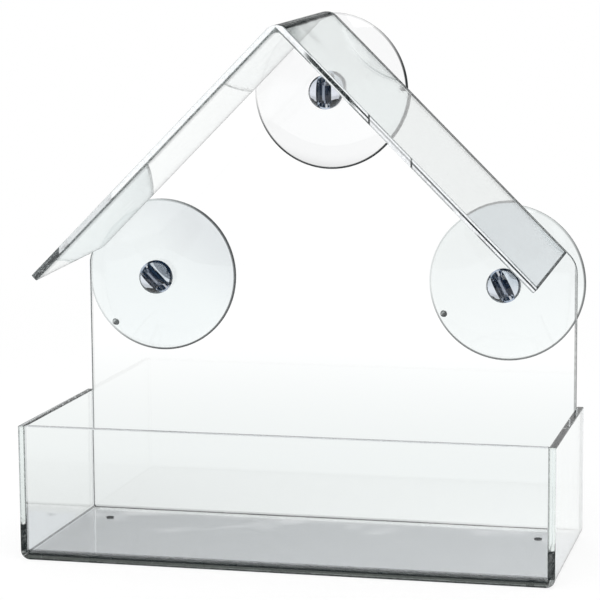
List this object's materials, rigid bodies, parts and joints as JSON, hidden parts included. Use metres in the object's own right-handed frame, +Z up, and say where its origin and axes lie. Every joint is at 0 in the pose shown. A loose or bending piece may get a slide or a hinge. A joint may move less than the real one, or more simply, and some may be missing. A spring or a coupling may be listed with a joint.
{
  "type": "window bird feeder",
  "caption": "Clear acrylic house-shaped bird feeder with an open seed tray and a pitched roof, held on a window pane by suction cups.",
  "frame": {"origin": "middle of the tray's underside", "axes": "+X along the tray, to the right as seen from the open front; +Y from the open front to the window; +Z up"},
  "size_m": [0.15, 0.065, 0.151],
  "materials": {
    "clear_acrylic": "clear cast acrylic sheet, polished, with darker cut edges",
    "clear_pvc": "clear flexible PVC with a faint blue tint, glossy"
  },
  "bodies": {
    "feeder": {"tray": "clear_acrylic", "front_panel": "clear_acrylic", "back_panel": "clear_acrylic", "roof": "clear_acrylic"},
    "cup_left": {"suction_cup_left": "clear_pvc"},
    "cup_top": {"suction_cup_top": "clear_pvc"},
    "cup_right": {"suction_cup_right": "clear_pvc"}
  },
  "joints": [
    {"name": "cup_left_turn", "type": "hinge", "parent": "feeder", "child": "cup_left", "pos_m": [-0.052, 0.029, 0.07286], "axis": [0, 1, 0], "continuous": true},
    {"name": "cup_top_turn", "type": "hinge", "parent": "feeder", "child": "cup_top", "pos_m": [0, 0.029, 0.1279], "axis": [0, 1, 0], "continuous": true},
    {"name": "cup_right_turn", "type": "hinge", "parent": "feeder", "child": "cup_right", "pos_m": [0.052, 0.029, 0.07286], "axis": [0, 1, 0], "continuous": true}
  ]
}
